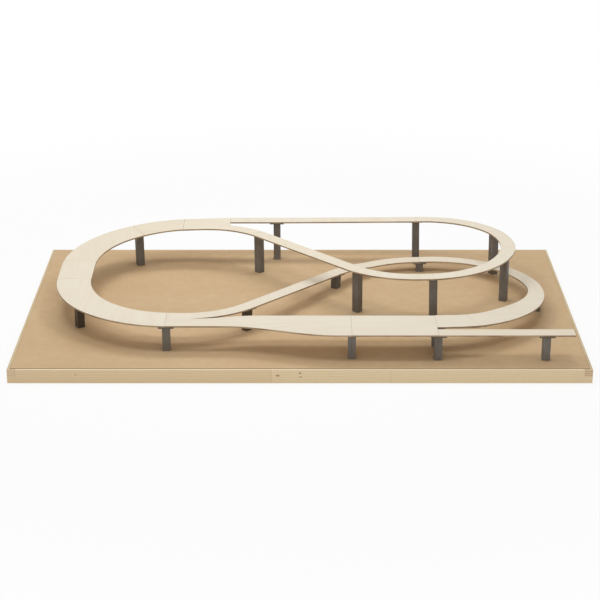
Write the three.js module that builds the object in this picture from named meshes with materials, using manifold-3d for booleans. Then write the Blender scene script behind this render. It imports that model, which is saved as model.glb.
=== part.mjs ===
// A model railway track section: a framed baseboard carrying a folded dog-bone roadbed of thin
// plywood strips on square posts. Millimetres, +Z up. The long side runs along X, the front edge
// faces -Y, and the origin is the middle of the underside.
import * as THREE from 'three';
import { mergeVertices } from 'three/addons/utils/BufferGeometryUtils.js';
import Module from 'manifold-3d';

const wasm = await Module();
wasm.setup();

const degrees = THREE.MathUtils.degToRad;
const { smoothstep } = THREE.MathUtils;

// Clearances
const seatGap = 0.3; // between a piece and what it rests on
const sawGap = 0.3; // between neighbouring strips

// Baseboard
const boardLength = 2200;
const boardDepth = 1320;
const boardHeight = 56; // to the panel's top face
const panelProud = 1.5; // how far the panel stands above the rails
const railWidth = 30;
const rimWidth = 11; // the part of each rail that shows around the panel
const panelThickness = 10;

// Track geometry
const tightRadius = 360;
const trackSpacing = 77.5;
const shoulder = 30; // from a track's centre line to the edge of its strip

// Distance from the board's edges to the strips
const leftMargin = 115;
const frontMargin = 172;
const backMargin = 76;
const highLoopMargin = 204;
const lowLoopMargin = 108;
const lowLoopFrontMargin = 162;
const stationMargin = 81;
const sidingMargin = 57;

// Straights along the routes
const highLeadLength = 84;
const highLoopStraight = 33;
const lowLeadLength = 39;
const junctionLength = 216; // double-track part of the back junction

// Station boards and siding
const stationDepth = 199;
const stationWidenStart = 230; // distance along the station where its front edge swings out
const stationWidenLength = 430;
const stationShrinkStart = 117; // distance along the station where its back edge leaves the ramp
const stationShrinkLength = 230;
const stationSeam = 715; // first board's length
const sidingWidth = 61;

// Passing track inside the low loop, measured as angles before the loop meets the station
const passingWidth = 61;
const passingFullSweep = degrees(42);
const passingTaperSweep = degrees(55);

// Thicknesses and supports
const plyThickness = 6;
const postSize = 30;
const capLength = 60;
const capWidth = 46;
const capThickness = 3;
const facetLength = 30; // longest step along a strip

// Seams of the double-track loop, past the ends of its straight and of its last curve
const leftSeamShift = 45;
const backSeamShift = 14;

// Angles round the curves at which posts and level changes stand
const leftFrontSweep = degrees(58);
const leftBackSweep = degrees(63);
const highFrontSweep = degrees(4);
const highRightSweep = degrees(66);
const highFarSweep = degrees(118);
const underpassSweep = degrees(20);
const lowRightSweep = degrees(94);
const lowSpliceSweep = degrees(159);

// Distances of the other posts before or after the nearest end of a curve or strip
const crossingWestBefore = 19;
const crossingEastAfter = 34;
const backBefore = 202;
const rampBefore = 27;
const underpassBefore = 51;
const lowBackBefore = 10;
const sidingBefore = 109;
const jointAfter = 5;

// Distances of the posts to the left of their track's middle
const leftFrontOffset = 19;
const jointOffset = -12;
const stationEndOffset = -11;
const sidingOffset = -13;
const leftBackOffset = -7;
const crossingOffset = 10;
const highCurveOffset = -4;
const backOffset = 10;
const rampOffset = -6;
const lowBackOffset = -15;
const spliceOffset = 3;
const secondPostReach = 126; // between the two posts at the station's far end
const uprightLean = 0.25; // part of its grade's lean that the post near the back joint takes

// Levels of the roadbed's top face above the panel
const stationLevel = 105;
const leftFrontLevel = 113;
const leftStraightStartLevel = 121;
const leftStraightEndLevel = 127;
const leftBackLevel = 155;
const backJointLevel = 168;
const junctionLevel = 175;
const crossingWestLevel = 178;
const crossingEastLevel = 181;
const highFrontLevel = 186;
const highRightLevel = 194;
const highFarLevel = 191;
const highBackLevel = 179;
const rampLevel = 97;
const underpassPostLevel = 65;
const underpassLevel = 46;
const lowRightLevel = 74;
const lowSpliceLevel = 99;

const materialValues = {
  ply: { color: 0xe3dac8, roughness: 0.75, metalness: 0 },
  panel: { color: 0xb8996e, roughness: 0.85, metalness: 0 },
  frame: { color: 0xdcc393, roughness: 0.65, metalness: 0 },
  post: { color: 0x5b554e, roughness: 0.8, metalness: 0 },
};

const section = new THREE.Group();

function addPiece(name, geometry, material) {
  const mesh = new THREE.Mesh(geometry, new THREE.MeshStandardMaterial(materialValues[material]));
  mesh.name = name;
  section.add(mesh);
  return mesh;
}

// Cutting and joining

function toSolid(geometry) {
  const bare = geometry.clone();
  bare.deleteAttribute('normal');
  bare.deleteAttribute('uv');
  const merged = mergeVertices(bare, 1e-3);
  return new wasm.Manifold(
    new wasm.Mesh({
      numProp: 3,
      vertProperties: merged.attributes.position.array,
      triVerts: new Uint32Array(merged.index.array),
    }),
  );
}

function toGeometry(solid) {
  const mesh = solid.getMesh();
  const geometry = new THREE.BufferGeometry();
  geometry.setAttribute('position', new THREE.BufferAttribute(mesh.vertProperties, 3));
  geometry.setIndex(new THREE.BufferAttribute(mesh.triVerts, 1));
  geometry.computeVertexNormals();
  return geometry;
}

// Baseboard

// Elevation of a rail with a half-height finger at each end. The rail's through half is the lower
// one for the front and back rails and the upper one for the side rails.
function railShape(length, lowerRunsThrough) {
  const full = length / 2;
  const short = full - railWidth - seatGap;
  const [lower, upper] = lowerRunsThrough ? [full, short] : [short, full];
  const height = boardHeight - panelProud;
  const step = height / 2 + (lowerRunsThrough ? -seatGap : seatGap) / 2;
  const outline = [
    [-lower, 0],
    [lower, 0],
    [lower, step],
    [upper, step],
    [upper, height],
    [-upper, height],
    [-upper, step],
    [-lower, step],
  ];
  return new THREE.Shape(outline.map(([x, y]) => new THREE.Vector2(x, y)));
}

// The rebate around the inner top edge of the rails, which the panel lies in.
function panelRebate() {
  const rebate = new THREE.BoxGeometry(
    boardLength - 2 * rimWidth,
    boardDepth - 2 * rimWidth,
    2 * (panelThickness + seatGap),
  );
  return toSolid(rebate.translate(0, 0, boardHeight));
}

function addRail(name, length, lowerRunsThrough, angle, distance) {
  const rail = new THREE.ExtrudeGeometry(railShape(length, lowerRunsThrough), {
    depth: railWidth,
    bevelEnabled: false,
  });
  rail.translate(0, 0, distance - railWidth);
  rail.rotateX(Math.PI / 2);
  rail.rotateZ(angle);
  addPiece(name, toGeometry(toSolid(rail).subtract(panelRebate())), 'frame');
}

function addBaseboard() {
  addRail('rail_front', boardLength, true, 0, boardDepth / 2);
  addRail('rail_right', boardDepth, false, Math.PI / 2, boardLength / 2);
  addRail('rail_back', boardLength, true, Math.PI, boardDepth / 2);
  addRail('rail_left', boardDepth, false, -Math.PI / 2, boardLength / 2);
  const panel = new THREE.BoxGeometry(
    boardLength - 2 * rimWidth - 2 * seatGap,
    boardDepth - 2 * rimWidth - 2 * seatGap,
    panelThickness,
  );
  addPiece('base_panel', panel, 'panel').position.z = boardHeight - panelThickness / 2;
}

// Routes

function straight(length) {
  return { length };
}

// A curve turns left where its sweep is positive.
function curve(radius, sweep) {
  return { length: radius * Math.abs(sweep), radius, side: Math.sign(sweep) };
}

function placeAlong(start, piece, distance) {
  if (!piece.radius) {
    return {
      x: start.x + distance * Math.cos(start.heading),
      y: start.y + distance * Math.sin(start.heading),
      heading: start.heading,
    };
  }
  const reach = piece.side * piece.radius;
  const heading = start.heading + distance / reach;
  return {
    x: start.x + reach * (Math.sin(heading) - Math.sin(start.heading)),
    y: start.y - reach * (Math.cos(heading) - Math.cos(start.heading)),
    heading,
  };
}

// A chain of straights and curves, each tangent to the one before it. Its marks are the distances
// at which its pieces end, and its levels are set later, once the places of its posts are known.
function makeRoute(start, pieces) {
  const spans = [];
  const marks = [];
  let place = start;
  let distance = 0;
  for (const piece of pieces) {
    spans.push({ piece, start: place, from: distance });
    place = placeAlong(place, piece, piece.length);
    distance += piece.length;
    marks.push(distance);
  }
  return { spans, marks, length: distance, levels: [] };
}

function placeAt(route, s) {
  const span = route.spans.findLast(({ from }) => from <= s) ?? route.spans[0];
  return placeAlong(span.start, span.piece, s - span.from);
}

// Height of the roadbed's top face, in even grades between the route's levels.
function levelAt(route, s) {
  const { levels } = route;
  const next = levels.findIndex((level) => level.s > s);
  if (next === 0) return levels[0].z;
  if (next < 0) return levels.at(-1).z;
  const before = levels[next - 1];
  const after = levels[next];
  return THREE.MathUtils.mapLinear(s, before.s, after.s, before.z, after.z);
}

// The straight between two curves of opposite hand touches both of their circles.
function innerTangent(fromCentre, fromRadius, toCentre, toRadius) {
  const dx = toCentre.x - fromCentre.x;
  const dy = toCentre.y - fromCentre.y;
  const distance = Math.hypot(dx, dy);
  const radii = fromRadius + toRadius;
  return {
    bearing: Math.atan2(dy, dx),
    swing: Math.asin(radii / distance),
    length: Math.sqrt(distance ** 2 - radii ** 2),
  };
}

const wideRadius = tightRadius + trackSpacing;
const middleRadius = tightRadius + trackSpacing / 2;
const leftTurnX = -boardLength / 2 + leftMargin + shoulder + wideRadius;
const leftFrontY = -boardDepth / 2 + frontMargin + shoulder + wideRadius;
const leftBackY = boardDepth / 2 - backMargin - shoulder - wideRadius;
const leftStraightLength = leftBackY - leftFrontY;
const highLoopX = boardLength / 2 - highLoopMargin - shoulder - tightRadius;
const highLoopY = leftBackY + trackSpacing;
const lowLoopX = boardLength / 2 - lowLoopMargin - shoulder - wideRadius;
const lowLoopY = -boardDepth / 2 + lowLoopFrontMargin + shoulder + wideRadius;
const quarter = Math.PI / 2;

// Middle of the double-track loop, clockwise from the front joint to the end of the junction.
const leftRoute = makeRoute({ x: leftTurnX, y: leftFrontY - middleRadius, heading: Math.PI }, [
  curve(middleRadius, -quarter),
  straight(leftStraightLength),
  curve(middleRadius, -quarter),
  straight(junctionLength),
]);

// Inner track from the back joint over the crossing, round the high loop and back to the junction.
function makeHighRoute() {
  const firstCentre = { x: leftTurnX + highLeadLength, y: leftBackY };
  const loopEntry = { x: highLoopX - highLoopStraight, y: highLoopY };
  const crossing = innerTangent(firstCentre, tightRadius, loopEntry, tightRadius);
  const descent = crossing.swing - crossing.bearing;
  return makeRoute({ x: leftTurnX, y: leftBackY + tightRadius, heading: 0 }, [
    straight(highLeadLength),
    curve(tightRadius, -descent),
    straight(crossing.length),
    curve(tightRadius, descent),
    straight(highLoopStraight),
    curve(tightRadius, 2 * quarter),
    straight(highLoopX - leftTurnX - junctionLength),
  ]);
}

// Inner track from the front joint under the crossing and round the low loop to the station.
function makeLowRoute() {
  const firstCentre = { x: leftTurnX + lowLeadLength, y: leftFrontY };
  const loopCentre = { x: lowLoopX, y: lowLoopY };
  const crossing = innerTangent(firstCentre, tightRadius, loopCentre, wideRadius);
  const climb = crossing.swing + crossing.bearing;
  return makeRoute({ x: leftTurnX, y: leftFrontY - tightRadius, heading: 0 }, [
    straight(lowLeadLength),
    curve(tightRadius, climb),
    straight(crossing.length),
    curve(wideRadius, -climb),
    curve(wideRadius, -2 * quarter),
  ]);
}

const highRoute = makeHighRoute();
const lowRoute = makeLowRoute();

// Middle of the siding's strip, from the front joint to the siding's end.
const stationFrontY = -boardDepth / 2 + stationMargin;
const frontRoute = makeRoute({ x: leftTurnX, y: stationFrontY + sidingWidth / 2, heading: 0 }, [
  straight(lowLoopX - leftTurnX),
  straight(boardLength / 2 - sidingMargin - lowLoopX),
]);

// Places of the posts along each route

const [leftCurveEnd, leftStraightEnd, backJoint] = leftRoute.marks;
const leftFrontPost = middleRadius * leftFrontSweep;
const leftBackPost = leftStraightEnd + middleRadius * leftBackSweep;

const [, highTurnEnd, highEntryStart, , loopStart, highBackPost] = highRoute.marks;
const crossingWestPost = highTurnEnd - crossingWestBefore;
const crossingEastPost = highEntryStart + crossingEastAfter;
const highFrontPost = loopStart + tightRadius * highFrontSweep;
const highRightPost = loopStart + tightRadius * highRightSweep;
const highFarPost = loopStart + tightRadius * highFarSweep;
const backPost = highRoute.length - backBefore;

const [, lowTurnEnd, lowEntryStart, lowLoopTop] = lowRoute.marks;
const rampPost = lowTurnEnd - rampBefore;
const underpassPost = lowEntryStart - underpassBefore;
const underpass = lowEntryStart + wideRadius * underpassSweep;
const lowBackPost = lowLoopTop - lowBackBefore;
const lowRightPost = lowLoopTop + wideRadius * lowRightSweep;
const lowSplice = lowLoopTop + wideRadius * lowSpliceSweep;

const [stationEnd] = frontRoute.marks;
const sidingPost = frontRoute.length - sidingBefore;

leftRoute.levels = [
  { s: 0, z: stationLevel },
  { s: leftFrontPost, z: leftFrontLevel },
  { s: leftCurveEnd, z: leftStraightStartLevel },
  { s: leftStraightEnd, z: leftStraightEndLevel },
  { s: leftBackPost, z: leftBackLevel },
  { s: backJoint, z: backJointLevel },
  { s: leftRoute.length, z: junctionLevel },
];

highRoute.levels = [
  { s: 0, z: backJointLevel },
  { s: junctionLength, z: junctionLevel },
  { s: crossingWestPost, z: crossingWestLevel },
  { s: crossingEastPost, z: crossingEastLevel },
  { s: highFrontPost, z: highFrontLevel },
  { s: highRightPost, z: highRightLevel },
  { s: highFarPost, z: highFarLevel },
  { s: highBackPost, z: highBackLevel },
  { s: backPost, z: junctionLevel },
  { s: highRoute.length, z: junctionLevel },
];

lowRoute.levels = [
  { s: 0, z: stationLevel },
  { s: rampPost, z: rampLevel },
  { s: underpassPost, z: underpassPostLevel },
  { s: underpass, z: underpassLevel },
  { s: lowBackPost, z: underpassLevel },
  { s: lowRightPost, z: lowRightLevel },
  { s: lowSplice, z: lowSpliceLevel },
  { s: lowRoute.length - capLength, z: stationLevel },
];

frontRoute.levels = [{ s: 0, z: stationLevel }];

// Roadbed strips

// Distances from one end of a strip to the other: its level changes and enough steps between them.
function stepsBetween(route, from, to) {
  const bends = [...route.levels, ...route.marks.map((s) => ({ s }))].map(({ s }) => s);
  const inside = bends.filter((s) => s > from + sawGap && s < to - sawGap);
  const ends = [...new Set([from, ...inside, to])].sort((a, b) => a - b);
  const steps = [from];
  ends.slice(1).forEach((end, index) => {
    const start = ends[index];
    const count = Math.ceil((end - start) / facetLength);
    for (let i = 1; i <= count; i += 1) steps.push(start + ((end - start) * i) / count);
  });
  return steps;
}

// A plate that follows a route: left and right give its edges' distances from the route's line,
// and drop is how far its top face lies below the roadbed's.
function stripGeometry(route, from, to, { left, right, thickness, drop = 0 }) {
  const steps = stepsBetween(route, from, to);
  const geometry = new THREE.BoxGeometry(1, 1, 1, steps.length - 1, 1, 1);
  const { position } = geometry.attributes;
  for (let i = 0; i < position.count; i += 1) {
    const s = steps[Math.round((position.getX(i) + 0.5) * (steps.length - 1))];
    const offset = position.getY(i) > 0 ? left(s) : -right(s);
    const { x, y, heading } = placeAt(route, s);
    const depth = drop + (position.getZ(i) > 0 ? 0 : thickness);
    position.setXYZ(
      i,
      x - offset * Math.sin(heading),
      y + offset * Math.cos(heading),
      boardHeight + levelAt(route, s) - depth,
    );
  }
  geometry.computeVertexNormals();
  return geometry;
}

const singleEdge = () => shoulder;
const doubleEdge = () => shoulder + trackSpacing / 2;

function roadbedGeometry(route, from, to, left = singleEdge, right = singleEdge) {
  return stripGeometry(route, from + sawGap / 2, to - sawGap / 2, {
    left,
    right,
    thickness: plyThickness,
  });
}

function addRoadbed(name, ...strip) {
  addPiece(name, roadbedGeometry(...strip), 'ply');
}

const backSeam = backJoint + backSeamShift;

function addLeftLoop() {
  const seams = [0, leftCurveEnd, leftStraightEnd + leftSeamShift, leftBackPost, backSeam];
  const names = ['left_curve_front', 'left_straight', 'left_curve_side', 'left_curve_back'];
  names.forEach((name, i) => {
    addRoadbed(name, leftRoute, seams[i], seams[i + 1], doubleEdge, doubleEdge);
  });
}

// The double strip and the curved branch that leaves it for the crossing are one plate.
function addJunction() {
  const double = roadbedGeometry(leftRoute, backSeam, leftRoute.length, doubleEdge, doubleEdge);
  const branch = roadbedGeometry(highRoute, highLeadLength, crossingWestPost);
  addPiece('junction_back', toGeometry(toSolid(double).add(toSolid(branch))), 'ply');
}

function addHighLoop() {
  const seams = [
    crossingWestPost,
    crossingEastPost,
    highFrontPost,
    highRightPost,
    highFarPost,
    highBackPost,
    highRoute.length,
  ];
  const names = [
    'crossing_west',
    'crossing_east',
    'high_curve_front',
    'high_curve_side',
    'high_curve_back',
    'high_straight_back',
  ];
  names.forEach((name, i) => addRoadbed(name, highRoute, seams[i], seams[i + 1]));
}

// The low loop's strip is wider inside, beside the station, and narrows round the curve.
function lowInnerEdge(s) {
  const sweep = (lowRoute.length - s) / wideRadius;
  const taper = smoothstep(sweep, passingFullSweep, passingFullSweep + passingTaperSweep);
  return shoulder + passingWidth * (1 - taper);
}

function addLowLoop() {
  const seams = [0, underpassPost, lowBackPost, lowRightPost, lowSplice, lowRoute.length];
  const names = ['ramp_west', 'ramp_east', 'low_curve_back', 'low_curve_side', 'low_curve_front'];
  names.forEach((name, i) => {
    addRoadbed(name, lowRoute, seams[i], seams[i + 1], singleEdge, lowInnerEdge);
  });
}

// The first station board starts at the outer track's width, beside the ramp, and swings out.
function stationBackEdge(s) {
  const beside = leftFrontY - tightRadius - shoulder - sawGap;
  const away = stationFrontY + stationDepth;
  const shift = smoothstep(s, stationShrinkStart, stationShrinkStart + stationShrinkLength);
  return THREE.MathUtils.lerp(beside, away, shift) - frontRoute.spans[0].start.y;
}

function stationFrontEdge(s) {
  const beside = leftFrontY - wideRadius - shoulder;
  const shift = smoothstep(s, stationWidenStart, stationWidenStart + stationWidenLength);
  return frontRoute.spans[0].start.y - THREE.MathUtils.lerp(beside, stationFrontY, shift);
}

function addStation() {
  addRoadbed('station_west', frontRoute, 0, stationSeam, stationBackEdge, stationFrontEdge);
  addRoadbed('station_east', frontRoute, stationSeam, stationEnd, stationBackEdge, stationFrontEdge);
  const sidingEdge = () => sidingWidth / 2;
  addRoadbed('siding', frontRoute, stationEnd, frontRoute.length, sidingEdge, sidingEdge);
}

// Supports

// A splice plate under the roadbed, bent to its curve and grade.
function addCap(name, { route, s, offset = 0, reach = 0 }) {
  const plate = {
    left: () => capWidth / 2 + offset + reach,
    right: () => capWidth / 2 - offset,
    thickness: capThickness,
    drop: plyThickness + seatGap,
  };
  addPiece(name, stripGeometry(route, s - capLength / 2, s + capLength / 2, plate), 'post');
}

// A square post in line with its route. It stands square to the grade, so its foot lies up the
// grade from its head, and its ends are cut to the plate above and to the panel. A lean below 1
// stands it nearer to upright.
function addPost(name, { route, s, offset = 0, lean = 1 }) {
  const half = postSize / 2;
  const grade = (levelAt(route, s + half) - levelAt(route, s - half)) / postSize;
  const headDrop = plyThickness + capThickness + 2 * seatGap;
  const { x, y, heading } = placeAt(route, s);
  const geometry = new THREE.BoxGeometry(postSize, postSize, 1, 2, 1, 1);
  const { position } = geometry.attributes;
  for (let i = 0; i < position.count; i += 1) {
    const ahead = position.getX(i);
    const head = levelAt(route, s + ahead) - headDrop;
    const isHead = position.getZ(i) > 0;
    position.setX(i, ahead + (isHead ? 0 : lean * grade * head));
    position.setY(i, position.getY(i) + offset);
    position.setZ(i, isHead ? head : seatGap);
  }
  geometry.computeVertexNormals();
  const post = addPiece(name, geometry, 'post');
  post.position.set(x, y, boardHeight);
  post.rotation.z = heading;
}

function addSupports() {
  const outerTrack = leftFrontY - wideRadius - frontRoute.spans[0].start.y;
  const places = [
    { route: leftRoute, s: leftFrontPost, offset: leftFrontOffset },
    { route: frontRoute, s: jointAfter, offset: outerTrack + jointOffset },
    { route: frontRoute, s: stationSeam },
    { route: frontRoute, s: stationEnd, offset: stationEndOffset, reach: secondPostReach },
    { route: frontRoute, s: sidingPost, offset: sidingOffset },
    { route: leftRoute, s: leftBackPost, offset: leftBackOffset, lean: uprightLean },
    { route: highRoute, s: crossingWestPost, offset: crossingOffset },
    { route: highRoute, s: crossingEastPost },
    { route: highRoute, s: highFrontPost },
    { route: highRoute, s: highRightPost, offset: highCurveOffset },
    { route: highRoute, s: highFarPost, offset: highCurveOffset },
    { route: highRoute, s: highBackPost },
    { route: highRoute, s: backPost, offset: backOffset },
    { route: lowRoute, s: rampPost, offset: rampOffset },
    { route: lowRoute, s: underpassPost, offset: rampOffset },
    { route: lowRoute, s: lowBackPost, offset: lowBackOffset },
    { route: lowRoute, s: lowRightPost },
  ];
  places.forEach((place, index) => {
    const number = String(index + 1).padStart(2, '0');
    addCap(`cap_${number}`, place);
    addPost(`post_${number}`, place);
  });
  const farEnd = places.find(({ reach }) => reach);
  addPost('post_18', { ...farEnd, offset: farEnd.offset + farEnd.reach });
  addCap('splice_low', { route: lowRoute, s: lowSplice, offset: spliceOffset });
}

addBaseboard();
addLeftLoop();
addJunction();
addHighLoop();
addLowLoop();
addStation();
addSupports();

export default section;
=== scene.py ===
# A model railway track section on white: a framed fibreboard panel with a roadbed of thin
# plywood strips on dark square posts. Metres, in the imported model's frame.
import math
import random

import bmesh
import bpy
from mathutils import Matrix, Vector
from mathutils.geometry import delaunay_2d_cdt


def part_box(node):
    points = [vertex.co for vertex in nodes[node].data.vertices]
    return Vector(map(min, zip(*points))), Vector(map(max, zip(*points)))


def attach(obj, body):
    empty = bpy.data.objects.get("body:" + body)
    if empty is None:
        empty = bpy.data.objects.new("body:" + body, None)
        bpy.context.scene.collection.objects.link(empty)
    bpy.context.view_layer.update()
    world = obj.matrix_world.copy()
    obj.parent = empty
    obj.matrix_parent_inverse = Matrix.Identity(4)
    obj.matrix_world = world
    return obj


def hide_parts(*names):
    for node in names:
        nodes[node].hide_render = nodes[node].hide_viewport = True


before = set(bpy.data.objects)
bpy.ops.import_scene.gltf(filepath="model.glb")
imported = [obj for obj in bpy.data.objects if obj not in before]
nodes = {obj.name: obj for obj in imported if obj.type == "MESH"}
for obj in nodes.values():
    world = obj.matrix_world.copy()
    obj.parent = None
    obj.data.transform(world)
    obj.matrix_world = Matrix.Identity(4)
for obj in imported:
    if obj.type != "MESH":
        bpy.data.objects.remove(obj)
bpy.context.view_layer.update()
rng = random.Random(7)

MM = 0.001

# Camera: distances behind the front rail's face and above the panel
CAMERA_BACK = 5.8918
CAMERA_UP = 2.6196
CAMERA_PITCH = 21.65  # degrees below the horizon
CAMERA_LENS = 103.14
CAMERA_SENSOR = 36
CAMERA_SHIFT = 0.00033

# Mesh detail
OUTLINE_STEP = 8 * MM
ARRIS = 0.3 * MM  # width of the worn edge on plywood
GLUE_GROOVE = 0.06 * MM
POST_ROUND = 1.1 * MM
RAIL_ROUND = 0.9 * MM
PANEL_ROUND = 0.8 * MM
SHARP_ANGLE = math.radians(5)
FLAT_ANGLE = math.radians(0.3)  # faces that meet flatter than this are merged
BEVEL_ANGLE = math.radians(30)  # edges sharper than this are rounded
BEND_ANGLE = math.radians(14)  # an outline that turns more than this has a corner
CORNER_ANGLE = math.radians(45)  # a sawn end lies between two corners this sharp

# Plywood layers down a roadbed strip's edge, and the pitch of their colour bands
STRIP_PLIES = 5
PLY_BAND = 2.4 * MM
GLUE_HALF = 0.15 * MM  # half the height of a glue line's groove


# Meshes


def clean_copy(node):
    """A CAD node's mesh with its vertices joined and its flat faces merged."""
    bm = bmesh.new()
    bm.from_mesh(nodes[node].data)
    bmesh.ops.remove_doubles(bm, verts=bm.verts, dist=1e-5)
    bmesh.ops.dissolve_limit(bm, angle_limit=FLAT_ANGLE, verts=bm.verts, edges=bm.edges)
    bm.normal_update()
    return bm


def top_loop(bm):
    """The edge of a plate's top face, as one closed loop of vertices, anticlockwise."""
    top = {f for f in bm.faces if f.normal.z > 0.5}
    after = {}
    for face in top:
        for loop in face.loops:
            others = [f for f in loop.edge.link_faces if f is not face]
            if not others or others[0] not in top:
                after[loop.vert] = loop.link_loop_next.vert
    start = next(iter(after))
    walk = [start]
    while after[walk[-1]] is not start:
        walk.append(after[walk[-1]])
    return walk


def corner_angle(before, here, after):
    a = (here - before).to_2d()
    b = (after - here).to_2d()
    if a.length < 1e-7 or b.length < 1e-7:
        return 0
    return abs(a.angle_signed(b))


def smooth_outline(points):
    """The loop in even short steps: curved between its corners, with its heights kept straight."""
    n = len(points)
    corner = [
        corner_angle(points[i - 1], points[i], points[(i + 1) % n]) > BEND_ANGLE
        for i in range(n)
    ]
    out = []
    for i in range(n):
        p1, p2 = points[i], points[(i + 1) % n]
        p0 = 2 * p1 - p2 if corner[i] else points[i - 1]
        p3 = 2 * p2 - p1 if corner[(i + 1) % n] else points[(i + 2) % n]
        span = (p2 - p1).length
        m1 = (p2 - p0) * (span / max((p2 - p1).length + (p1 - p0).length, 1e-9))
        m2 = (p3 - p1) * (span / max((p3 - p2).length + (p2 - p1).length, 1e-9))
        count = max(1, math.ceil(span / OUTLINE_STEP))
        for k in range(count):
            t = k / count
            h = (
                (2 * t**3 - 3 * t**2 + 1) * p1
                + (t**3 - 2 * t**2 + t) * m1
                + (3 * t**2 - 2 * t**3) * p2
                + (t**3 - t**2) * m2
            )
            h.z = p1.z + (p2.z - p1.z) * t
            out.append(h)
    return out


def inward(points):
    """Unit offsets towards the inside of an anticlockwise loop, lengthened at its corners."""
    n = len(points)
    result = []
    for i in range(n):
        a = (points[i] - points[i - 1]).to_2d().normalized()
        b = (points[(i + 1) % n] - points[i]).to_2d().normalized()
        na, nb = Vector((-a.y, a.x)), Vector((-b.y, b.x))
        m = na + nb
        m = m.normalized() if m.length > 1e-6 else na
        m = m / max(m.dot(na), 0.5)
        result.append(Vector((m.x, m.y, 0)))
    return result


def end_steps(top, points):
    """True for each step of the smooth outline that lies on one of the plate's two sawn ends."""
    chains = []
    for i in range(len(top)):
        a, b = top[i], top[(i + 1) % len(top)]
        sharp = [
            corner_angle(top[k - 1], top[k], top[(k + 1) % len(top)]) > CORNER_ANGLE
            for k in (i, (i + 1) % len(top))
        ]
        if all(sharp):
            chains.append(((b - a).length, a, b))
    chains.sort(key=lambda row: row[0])
    ends = chains[:2]
    result = []
    for i, p in enumerate(points):
        middle = (p + points[(i + 1) % len(points)]) / 2
        near = [
            abs((middle - a).length + (middle - b).length - length) < 0.1 * MM
            for length, a, b in ends
        ]
        result.append(any(near))
    return result


def worn_edges(ending, offsets, end_wear, side_wear):
    """The offsets, scaled by one factor along the plate's ends and another along its sides."""
    count = len(offsets)
    return [
        o * (end_wear if ending[i] or ending[(i - 1) % count] else side_wear)
        for i, o in enumerate(offsets)
    ]


def plate_profile(thickness, plies):
    """Inset and depth down a plate's edge: worn arrises, and a groove at each glue line."""
    rows = [(ARRIS, 0), (0.3 * ARRIS, 0.3 * ARRIS), (0, ARRIS)]
    for i in range(1, plies):
        depth = thickness * i / plies
        rows += [(0, depth - GLUE_HALF), (GLUE_GROOVE, depth), (0, depth + GLUE_HALF)]
    rows += [
        (0, thickness - ARRIS),
        (0.3 * ARRIS, thickness - 0.3 * ARRIS),
        (ARRIS, thickness),
    ]
    return rows


def plate_mesh(node, plies, end_wear=1.0, side_wear=1.0):
    """A plate cut from sheet: smooth outline, worn arrises and ply layers down its edge."""
    bm = clean_copy(node)
    loop = top_loop(bm)
    top = [v.co.copy() for v in loop]
    below = min(v.co.z for v in bm.verts if (v.co - loop[0].co).to_2d().length < 0.1 * MM)
    thickness = loop[0].co.z - below
    bm.free()
    points = smooth_outline(top)
    count = len(points)
    verts, faces, side, depths, end = [], [], [], [], []
    ending = end_steps(top, points)
    offsets = worn_edges(ending, inward(points), end_wear, side_wear)
    profile = plate_profile(thickness, plies)
    for inset, depth in profile:
        for p, o in zip(points, offsets):
            verts.append(p + o * inset - Vector((0, 0, depth)))
            depths.append(depth)
    for row in range(len(profile) - 1):
        for i in range(count):
            j = (i + 1) % count
            a, b = row * count, (row + 1) * count
            faces.append((a + j, a + i, b + i, b + j))
            side.append(1.0)
            end.append(1.0 if ending[i] else 0.0)
    flat = [v.to_2d() for v in verts[:count]]
    _, _, tris, orig, _, _ = delaunay_2d_cdt(flat, [], [list(range(count))], 1, 1e-7)
    last = (len(profile) - 1) * count
    for tri in tris:
        ids = [orig[v][0] for v in tri]
        faces.append(tuple(ids))
        side.append(0.0)
        faces.append(tuple(last + v for v in reversed(ids)))
        side.append(0.0)
        end += [0.0, 0.0]
    mesh = bpy.data.meshes.new(node)
    mesh.from_pydata(verts, [], faces)
    put_attribute(mesh, "side", "FLOAT", "FACE", side)
    put_attribute(mesh, "end", "FLOAT", "FACE", end)
    put_attribute(mesh, "depth", "FLOAT", "POINT", depths)
    return mesh


def rounded_mesh(node, radius, segments):
    """A CAD node's mesh with its sharp edges rounded."""
    bm = clean_copy(node)
    edges = [e for e in bm.edges if e.calc_face_angle(0) > BEVEL_ANGLE]
    bmesh.ops.bevel(
        bm,
        geom=edges,
        offset=radius,
        segments=segments,
        profile=0.5,
        affect="EDGES",
        clamp_overlap=True,
    )
    bmesh.ops.triangulate(bm, faces=[f for f in bm.faces if len(f.verts) > 4])
    bm.normal_update()
    mesh = bpy.data.meshes.new(node)
    bm.to_mesh(mesh)
    bm.free()
    return mesh


def put_attribute(mesh, name, kind, domain, values):
    layer = mesh.attributes.new(name, kind, domain)
    for item, value in zip(layer.data, values):
        if kind == "FLOAT_VECTOR":
            item.vector = value
        else:
            item.value = value


def put_grain(mesh, axes, shift, tone):
    """Grain coordinates: along the grain, then across it twice, with a shift of its own."""
    grain = [axes @ v.co + shift for v in mesh.vertices]
    put_attribute(mesh, "grain", "FLOAT_VECTOR", "POINT", grain)
    put_attribute(mesh, "tone", "FLOAT", "POINT", [tone] * len(mesh.vertices))


def add_piece(name, node, mesh, material):
    mesh.validate()
    for polygon in mesh.polygons:
        polygon.use_smooth = True
    mesh.set_sharp_from_angle(angle=SHARP_ANGLE)
    piece = bpy.data.objects.new(name, mesh)
    bpy.context.scene.collection.objects.link(piece)
    mesh.materials.append(material)
    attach(piece, "root")
    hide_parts(node)
    return piece


def spun(angle):
    return Matrix.Rotation(-angle, 3, "Z")


# Materials


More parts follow.
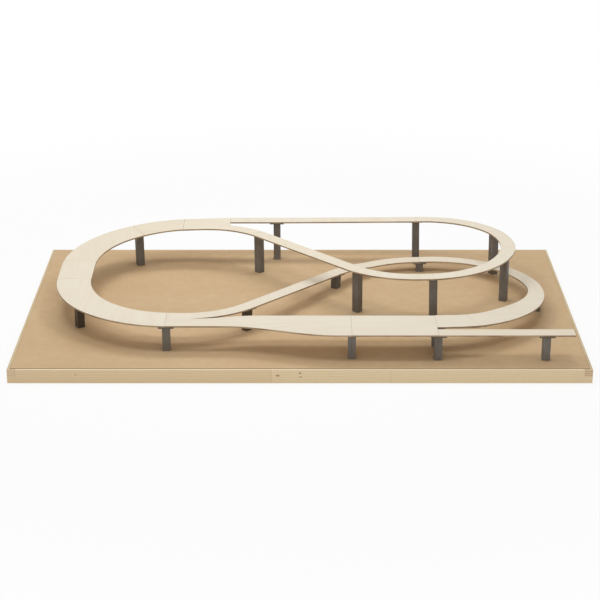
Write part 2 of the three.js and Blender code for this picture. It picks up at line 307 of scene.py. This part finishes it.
class Shader:
    """A material's node tree, with one short call for each node."""

    def __init__(self, name):
        self.material = bpy.data.materials.new(name)
        self.material.use_nodes = True
        self.tree = self.material.node_tree
        self.surface = self.tree.nodes["Principled BSDF"]

    def node(self, kind, inputs=None, **settings):
        made = self.tree.nodes.new(kind)
        for key, value in settings.items():
            setattr(made, key, value)
        for key, value in (inputs or {}).items():
            self.give(made.inputs[key], value)
        return made

    def give(self, socket, value):
        if isinstance(value, bpy.types.NodeSocket):
            self.tree.links.new(value, socket)
        else:
            socket.default_value = value

    def attribute(self, name, output="Fac"):
        return self.node("ShaderNodeAttribute", attribute_name=name).outputs[output]

    def math(self, operation, a, b=0.0, clamp=False):
        made = self.node("ShaderNodeMath", {0: a, 1: b}, operation=operation, use_clamp=clamp)
        return made.outputs[0]

    def scaled(self, vector, scale):
        made = self.node("ShaderNodeVectorMath", {0: vector, 1: scale}, operation="MULTIPLY")
        return made.outputs[0]

    def noise(self, vector, scale, detail=4.0, rough=0.55, distortion=0.0):
        inputs = {
            "Vector": vector,
            "Scale": scale,
            "Detail": detail,
            "Roughness": rough,
            "Distortion": distortion,
        }
        return self.node("ShaderNodeTexNoise", inputs).outputs[0]

    def span(self, value, low, high, to_low=0.0, to_high=1.0, smooth=False):
        inputs = {
            "Value": value,
            "From Min": low,
            "From Max": high,
            "To Min": to_low,
            "To Max": to_high,
        }
        kind = "SMOOTHSTEP" if smooth else "LINEAR"
        return self.node("ShaderNodeMapRange", inputs, interpolation_type=kind).outputs[0]

    def mix(self, factor, a, b, blend="MIX"):
        made = self.node("ShaderNodeMix", data_type="RGBA", blend_type=blend)
        self.give(made.inputs[0], factor)
        self.give(made.inputs[6], a)
        self.give(made.inputs[7], b)
        return made.outputs[2]

    def bump(self, height, strength, distance):
        inputs = {"Height": height, "Strength": strength, "Distance": distance}
        return self.node("ShaderNodeBump", inputs).outputs[0]

    def finish(self, colour, roughness, normal, specular=0.3):
        self.give(self.surface.inputs["Base Color"], colour)
        self.give(self.surface.inputs["Roughness"], roughness)
        self.give(self.surface.inputs["Normal"], normal)
        self.surface.inputs["Specular IOR Level"].default_value = specular
        return self.material


def rgb(red, green, blue):
    """A colour given as it looks on screen, from 0 to 255."""
    linear = [((v / 255 + 0.055) / 1.055) ** 2.4 for v in (red, green, blue)]
    return (*linear, 1.0)


def plywood():
    s = Shader("birch_plywood")
    grain = s.attribute("grain", "Vector")
    tone = s.attribute("tone")
    side = s.attribute("side")
    depth = s.attribute("depth")
    fine = s.noise(s.scaled(grain, (14, 420, 14)), 1.0, 5.0, 0.6)
    streak = s.noise(s.scaled(grain, (3.0, 46, 3.0)), 1.0, 3.0, 0.5, 0.6)
    cloud = s.noise(s.scaled(grain, (5.0, 9.0, 5.0)), 1.0, 2.0)
    face = s.mix(s.span(streak, 0.3, 0.7), rgb(231, 222, 205), rgb(226, 215, 196))
    face = s.mix(s.span(fine, 0.35, 0.75, 0.0, 0.4), face, rgb(216, 202, 178))
    face = s.mix(s.span(cloud, 0.35, 0.7, 0.0, 0.35), face, rgb(234, 227, 212))
    fleck = s.noise(s.scaled(grain, (60, 900, 60)), 1.0, 2.0)
    face = s.mix(s.span(fleck, 0.7, 0.78, 0.0, 0.3), face, rgb(190, 166, 134))
    face = s.mix(tone, face, rgb(222, 208, 180))
    # The cut edge: pale layers between darker ones, unevenly scorched by the cutter
    layer = s.math("FRACT", s.math("MULTIPLY", depth, 1 / PLY_BAND))
    band = s.span(s.math("ABSOLUTE", s.math("SUBTRACT", layer, 0.5)), 0.2, 0.3, smooth=True)
    scorch = s.noise(s.scaled(grain, (9, 9, 9)), 1.0, 4.0)
    edge = s.mix(band, rgb(206, 184, 152), rgb(160, 132, 100))
    edge = s.mix(s.span(scorch, 0.4, 0.65, 0.15, 0.85), edge, rgb(128, 103, 76))
    end = s.attribute("end")
    edge = s.mix(end, edge, rgb(196, 174, 140))
    colour = s.mix(side, face, edge)
    rough = s.span(fine, 0.3, 0.8, 0.58, 0.78)
    height = s.math("ADD", s.math("MULTIPLY", fine, 0.7), s.math("MULTIPLY", streak, 0.3))
    return s.finish(colour, rough, s.bump(height, 0.25, 0.3 * MM), 0.25)


def fibreboard():
    s = Shader("raw_fibreboard")
    grain = s.attribute("grain", "Vector")
    cloud = s.noise(s.scaled(grain, (2.2, 3.4, 2.2)), 1.0, 3.0, 0.6)
    mottle = s.noise(s.scaled(grain, (26, 26, 26)), 1.0, 4.0, 0.65)
    fibre = s.noise(s.scaled(grain, (900, 900, 900)), 1.0, 3.0, 0.7)
    colour = s.mix(s.span(cloud, 0.3, 0.7), rgb(212, 184, 146), rgb(203, 174, 135))
    colour = s.mix(s.span(mottle, 0.3, 0.75, 0.0, 0.4), colour, rgb(194, 164, 124))
    colour = s.mix(s.span(fibre, 0.4, 0.8, 0.0, 0.45), colour, rgb(170, 138, 98))
    speck = s.noise(s.scaled(grain, (240, 240, 240)), 1.0, 1.0)
    colour = s.mix(s.span(speck, 0.76, 0.8, 0.0, 0.5), colour, rgb(120, 88, 56))
    side = s.attribute("side")
    colour = s.mix(side, colour, rgb(132, 100, 66))
    rough = s.span(mottle, 0.3, 0.75, 0.62, 0.8)
    return s.finish(colour, rough, s.bump(fibre, 0.2, 0.15 * MM), 0.25)


def stained_block():
    s = Shader("grey_stained_block")
    grain = s.attribute("grain", "Vector")
    side = s.attribute("side")
    tone = s.attribute("tone")
    streak = s.noise(s.scaled(grain, (7, 150, 150)), 1.0, 4.0, 0.6)
    fine = s.noise(s.scaled(grain, (60, 1300, 1300)), 1.0, 3.0, 0.6)
    cloud = s.noise(s.scaled(grain, (14, 22, 22)), 1.0, 2.0)
    colour = s.mix(s.span(streak, 0.3, 0.7), rgb(114, 108, 101), rgb(98, 90, 80))
    colour = s.mix(s.span(fine, 0.4, 0.75, 0.0, 0.6), colour, rgb(84, 75, 64))
    colour = s.mix(s.span(cloud, 0.4, 0.75, 0.0, 0.5), colour, rgb(130, 127, 122))
    # Darker by tone: a tone of the stained stock, with painted shade on the posts that stand in
    # shade under the strips
    colour = s.mix(tone, colour, rgb(58, 45, 32))
    colour = s.mix(s.math("MULTIPLY", side, 0.6), colour, rgb(74, 62, 50))
    rough = s.span(streak, 0.3, 0.75, 0.42, 0.62)
    return s.finish(colour, rough, s.bump(fine, 0.3, 0.2 * MM), 0.4)


def studio_white(name, bounced, shown, near, far):
    """A pale floor that camera, glossy and transmission rays see as white, apart from a part of
    the object's shadow that fades out between two distances from the middle."""
    s = Shader(name)
    plain = s.node("ShaderNodeBsdfDiffuse", {0: (bounced, bounced, bounced, 1)})
    white = s.node("ShaderNodeEmission", {0: (1, 1, 1, 1), 1: 1.0})
    place = s.node("ShaderNodeTexCoord").outputs["Object"]
    distance = s.node("ShaderNodeVectorMath", {0: place}, operation="LENGTH").outputs["Value"]
    share = s.span(distance, near, far, shown, 1.0, smooth=True)
    mix = s.node("ShaderNodeMixShader")
    s.give(mix.inputs[0], s.math("MULTIPLY", seen_rays(s.tree), share))
    s.give(mix.inputs[1], plain.outputs[0])
    s.give(mix.inputs[2], white.outputs[0])
    s.give(s.tree.nodes["Material Output"].inputs[0], mix.outputs[0])
    s.tree.nodes.remove(s.surface)
    return s.material


def seen_rays(tree):
    """1 for camera, glossy and transmission rays, and 0 for the rest."""
    path = tree.nodes.new("ShaderNodeLightPath")
    first = tree.nodes.new("ShaderNodeMath")
    first.operation = "ADD"
    tree.links.new(path.outputs["Is Camera Ray"], first.inputs[0])
    tree.links.new(path.outputs["Is Glossy Ray"], first.inputs[1])
    second = tree.nodes.new("ShaderNodeMath")
    second.operation = "ADD"
    second.use_clamp = True
    tree.links.new(first.outputs[0], second.inputs[0])
    tree.links.new(path.outputs["Is Transmission Ray"], second.inputs[1])
    return second.outputs[0]


PLY = plywood()
BOARD = fibreboard()
BLOCK = stained_block()


# The roadbed

# How far each strip's face leans to the yellower, darker sheet it was cut from
STRIP_TONES = {
    "left_curve_side": 0.30,
    "left_curve_back": 0.40,
    "junction_back": 0.22,
    "crossing_west": 0.25,
    "siding": 0.35,
    "ramp_east": 0.3,
}
# Painted shade: how far each post that stands in shade under the strips is darkened
POST_PAINTED_SHADE = {"post_01": 0.95, "post_14": 0.8, "post_15": 0.4, "post_17": 0.6}
# How much more worn the sawn ends of some strips are, where their seams show
END_WEAR = {
    "left_curve_side": 2.0,
    "left_curve_back": 3.0,
    "junction_back": 2.5,
    "station_west": 1.1,
    "station_east": 1.3,
    "siding": 2.0,
    "low_curve_front": 0.3,
    "low_curve_side": 0.3,
}
# The same for their long edges, where two strips lie side by side
SIDE_WEAR = {"ramp_west": 2.2}


def facing(mesh, axis, limit):
    """1 for each face that looks along the axis, and 0 for the rest."""
    return [1.0 if abs(p.normal.dot(axis)) > limit else 0.0 for p in mesh.polygons]


def random_shift():
    return Vector((rng.uniform(0, 9), rng.uniform(0, 9), rng.uniform(0, 9)))


def add_strip(node):
    mesh = plate_mesh(node, STRIP_PLIES, END_WEAR.get(node, 1.0), SIDE_WEAR.get(node, 1.0))
    angle = math.radians(rng.choice((0, 0, 90)) + rng.uniform(-12, 12))
    put_grain(mesh, spun(angle), random_shift(), STRIP_TONES.get(node, 0.1))
    add_piece("strip_" + node, node, mesh, PLY)


def add_cap(node):
    mesh = plate_mesh(node, 1)
    put_grain(mesh, spun(rng.uniform(0, 3)), random_shift(), 0.2)
    add_piece("plate_" + node, node, mesh, BLOCK)


def add_post(node):
    mesh = rounded_mesh(node, POST_ROUND, 3)
    put_attribute(mesh, "side", "FLOAT", "FACE", facing(mesh, Vector((0, 0, 1)), 0.7))
    # Painted shade for the posts that stand in shade, a random stain tone for the rest
    tone = POST_PAINTED_SHADE.get(node, rng.uniform(0, 0.3))
    put_grain(mesh, Matrix(((0, 0, 1), (1, 0, 0), (0, 1, 0))), random_shift(), tone)
    add_piece("block_" + node, node, mesh, BLOCK)


# The baseboard

# Knots along each rail: distance from its middle, height above its underside, and radius
KNOTS = {
    "rail_front": [
        (-0.083, 0.0315, 0.0042),
        (0.001, 0.041, 0.003),
        (0.003, 0.026, 0.0026),
        (-0.842, 0.034, 0.002),
    ],
    "rail_back": [(0.41, 0.03, 0.0045), (-0.62, 0.022, 0.004)],
    "rail_left": [(0.22, 0.035, 0.004)],
    "rail_right": [(-0.31, 0.024, 0.0045), (0.12, 0.037, 0.003)],
}
# The tone of each rail's first length, then its glued finger joints: where each is along the
# rail, and how much the tone changes there
LENGTHS = {
    "rail_front": (0.32, [(-0.105, -0.27), (0.345, -0.05)]),
    "rail_back": (0.05, [(-0.35, 0.25), (0.5, 0.05)]),
    "rail_left": (0.1, [(0.1, 0.15)]),
    "rail_right": (0.2, [(-0.2, -0.15)]),
}
# The colour that a rail's top leans to, and how far: a painted highlight makes the front rail's
# top paler, and the other rails' tops are made darker and duller
FRONT_TOP_HIGHLIGHT = (0.5, rgb(248, 237, 212))
OTHER_TOP = (0.45, rgb(184, 164, 122))
# How dark the stripes on the side rails' sawn ends are
END_STRIPES = {"rail_left": 0.45, "rail_right": 0.9}
PANEL_TOP_LIMIT = 0.95  # a panel face whose normal is less upright than this is an edge
JOINT_TOOTH = 4 * MM
JOINT_REACH = 5 * MM


def add_rail(node):
    mesh = rounded_mesh(node, RAIL_ROUND, 3)
    lengthways = node in ("rail_front", "rail_back")
    axis = Vector((1, 0, 0)) if lengthways else Vector((0, 1, 0))
    axes = Matrix.Identity(3) if lengthways else Matrix(((0, 1, 0), (1, 0, 0), (0, 0, 1)))
    put_attribute(mesh, "side", "FLOAT", "FACE", facing(mesh, axis, 0.7))
    put_attribute(mesh, "top", "FLOAT", "FACE", facing(mesh, Vector((0, 0, 1)), 0.7))
    shift = random_shift()
    put_grain(mesh, axes, shift, 0.0)
    add_piece("timber_" + node, node, mesh, rail_material(node, shift))


def rail_material(node, shift):
    """Softwood with this rail's own knots and glued lengths."""
    s = Shader("planed_softwood_" + node)
    grain = s.attribute("grain", "Vector")
    end = s.attribute("side")
    place = s.node("ShaderNodeVectorMath", {0: grain, 1: shift}, operation="SUBTRACT").outputs[0]
    part = s.node("ShaderNodeSeparateXYZ", {0: place})
    along, across, up = part.outputs[0], part.outputs[1], part.outputs[2]

    # Knots run through the rail, so they are measured along it and up it
    knot = 0.0
    for where, height, radius in KNOTS[node]:
        dx = s.math("SUBTRACT", along, where)
        dz = s.math("SUBTRACT", up, height)
        flat = s.math("MULTIPLY", dx, 0.62)
        square = s.math("ADD", s.math("MULTIPLY", flat, flat), s.math("MULTIPLY", dz, dz))
        far = s.math("SQRT", square)
        one = s.span(far, 0.2 * radius, 2.4 * radius, 1.0, 0.0, smooth=True)
        knot = s.math("MAXIMUM", one, knot)

    # A glued joint zigzags up the rail, and each length has its own tone
    saw = s.math("PINGPONG", up, JOINT_TOOTH)
    zigzag = s.math("MULTIPLY", saw, JOINT_REACH / JOINT_TOOTH)
    toothed = s.math("ADD", along, zigzag)
    tone, joints = LENGTHS[node]
    line = 0.0
    for where, change in joints:
        past = s.math("GREATER_THAN", toothed, where)
        tone = s.math("ADD", s.math("MULTIPLY", past, change), tone)
        gap = s.math("ABSOLUTE", s.math("SUBTRACT", toothed, where))
        line = s.math("MAXIMUM", s.span(gap, 0.2 * MM, 0.9 * MM, 1.0, 0.0), line)

    bend = s.noise(s.scaled(grain, (1.6, 9, 9)), 1.0, 2.0)
    ring = s.math("ADD", s.math("MULTIPLY", up, 150.0), s.math("MULTIPLY", bend, 5.0))
    ring = s.math("ADD", ring, s.math("MULTIPLY", across, 70.0))
    ring = s.math("ADD", ring, s.math("MULTIPLY", knot, 1.3))
    ring = s.math("ADD", ring, s.math("MULTIPLY", tone, 7.0))
    late = s.span(s.math("FRACT", ring), 0.4, 0.95, 0.0, 1.0, smooth=True)
    fine = s.noise(s.scaled(grain, (26, 900, 900)), 1.0, 4.0, 0.6)
    colour = s.mix(late, rgb(229, 209, 174), rgb(211, 186, 144))
    colour = s.mix(s.span(fine, 0.35, 0.75, 0.0, 0.4), colour, rgb(200, 172, 130))
    colour = s.mix(tone, colour, rgb(202, 170, 128))
    colour = s.mix(s.span(knot, 0.2, 0.8, 0.0, 0.4), colour, rgb(180, 138, 96))
    colour = s.mix(s.span(knot, 0.7, 1.0, 0.0, 0.85), colour, rgb(120, 86, 58))
    colour = s.mix(s.math("MULTIPLY", line, 0.5), colour, rgb(120, 90, 60))

    # Painted highlight on the front rail's top; the other rails' tops darker and duller
    share, tint = FRONT_TOP_HIGHLIGHT if node == "rail_front" else OTHER_TOP
    colour = s.mix(s.math("MULTIPLY", s.attribute("top"), share), colour, tint)

    # End grain: a few soft stripes, one above another
    wave = s.noise(s.scaled(grain, (20, 20, 20)), 1.0, 2.0)
    rings = s.math("FRACT", s.math("ADD", s.math("MULTIPLY", up, 125.0), wave))
    pores = s.noise(s.scaled(grain, (700, 700, 700)), 1.0, 3.0)
    stripe = s.span(rings, 0.35, 0.8, 0.0, END_STRIPES.get(node, 0.5), smooth=True)
    sawn = s.mix(stripe, rgb(222, 196, 164), rgb(172, 138, 106))
    sawn = s.mix(s.span(pores, 0.4, 0.7, 0.0, 0.3), sawn, rgb(178, 144, 108))
    colour = s.mix(end, colour, sawn)
    rough = s.span(fine, 0.3, 0.8, 0.5, 0.7)
    height = s.math("ADD", s.math("MULTIPLY", late, 0.35), s.math("MULTIPLY", fine, 0.65))
    return s.finish(colour, rough, s.bump(height, 0.25, 0.25 * MM), 0.3)


def add_panel():
    mesh = rounded_mesh("base_panel", PANEL_ROUND, 2)
    side = [1.0 if p.normal.z < PANEL_TOP_LIMIT else 0.0 for p in mesh.polygons]
    put_attribute(mesh, "side", "FLOAT", "FACE", side)
    put_grain(mesh, Matrix.Identity(3), random_shift(), 0.0)
    add_piece("sheet_base_panel", "base_panel", mesh, BOARD)


for name in sorted(nodes):
    if name.startswith("post_"):
        add_post(name)
    elif name.startswith(("cap_", "splice_")):
        add_cap(name)
    elif name.startswith("rail_"):
        add_rail(name)
    elif name == "base_panel":
        add_panel()
    else:
        add_strip(name)


# Studio

FLOOR_HALF = 30
FLOOR_BOUNCE = 0.85  # how pale the floor is to bounced light
FLOOR_WHITE = 0.9  # share of plain white seen near the object, where the rest is its shadow
SHADOW_NEAR, SHADOW_FAR = 1.4, 3.2  # distances between which that shadow fades out
WORLD_STRENGTH = 0.42
# Each lamp's name, place, target, size and power
LAMPS = [
    ("overhead", (-0.2, 1.2, 3.0), (-0.1, 0.3, 0), (3.2, 0.8), 39),
    ("left_box", (-1.3, -0.5, 3.0), (-0.3, 0, 0), (0.8, 0.8), 17),
    ("right_box", (1.1, -0.6, 3.0), (0.1, 0, 0), (0.8, 0.8), 12),
    ("front_fill", (0, -5.5, 1.4), (0, 0, 0.05), (5.0, 1.6), 80),
]


def add_camera():
    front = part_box("rail_front")[0].y
    data = bpy.data.cameras.new("camera")
    data.sensor_width = CAMERA_SENSOR
    data.lens = CAMERA_LENS
    data.shift_x = CAMERA_SHIFT
    camera = bpy.data.objects.new("camera", data)
    bpy.context.scene.collection.objects.link(camera)
    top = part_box("base_panel")[1].z
    camera.location = (0, front - CAMERA_BACK, top + CAMERA_UP)
    camera.rotation_euler = (math.radians(90 - CAMERA_PITCH), 0, 0)
    bpy.context.scene.camera = camera


def add_floor():
    bm = bmesh.new()
    bmesh.ops.create_grid(bm, x_segments=8, y_segments=8, size=FLOOR_HALF)
    mesh = bpy.data.meshes.new("floor")
    bm.to_mesh(mesh)
    bm.free()
    white = studio_white("studio_floor", FLOOR_BOUNCE, FLOOR_WHITE, SHADOW_NEAR, SHADOW_FAR)
    mesh.materials.append(white)
    floor = bpy.data.objects.new("floor", mesh)
    floor.location.z = -0.3 * MM
    bpy.context.scene.collection.objects.link(floor)


def add_lamp(name, place, target, size, energy):
    data = bpy.data.lights.new(name, "AREA")
    data.shape = "RECTANGLE"
    data.size, data.size_y = size
    data.energy = energy
    lamp = bpy.data.objects.new(name, data)
    bpy.context.scene.collection.objects.link(lamp)
    lamp.location = place
    aim = Vector(target) - Vector(place)
    lamp.rotation_euler = aim.to_track_quat("-Z", "Y").to_euler()


def add_world(strength):
    world = bpy.data.worlds.new("world")
    world.use_nodes = True
    tree = world.node_tree
    tree.nodes.clear()
    out = tree.nodes.new("ShaderNodeOutputWorld")
    fill = tree.nodes.new("ShaderNodeBackground")
    fill.inputs[0].default_value = (1, 1, 1, 1)
    fill.inputs[1].default_value = strength
    white = tree.nodes.new("ShaderNodeBackground")
    white.inputs[0].default_value = (1, 1, 1, 1)
    white.inputs[1].default_value = 1
    mix = tree.nodes.new("ShaderNodeMixShader")
    tree.links.new(seen_rays(tree), mix.inputs[0])
    tree.links.new(fill.outputs[0], mix.inputs[1])
    tree.links.new(white.outputs[0], mix.inputs[2])
    tree.links.new(mix.outputs[0], out.inputs[0])
    bpy.context.scene.world = world


add_camera()
add_floor()
for lamp in LAMPS:
    add_lamp(*lamp)
add_world(WORLD_STRENGTH)
bpy.context.scene.view_settings.view_transform = "Standard"
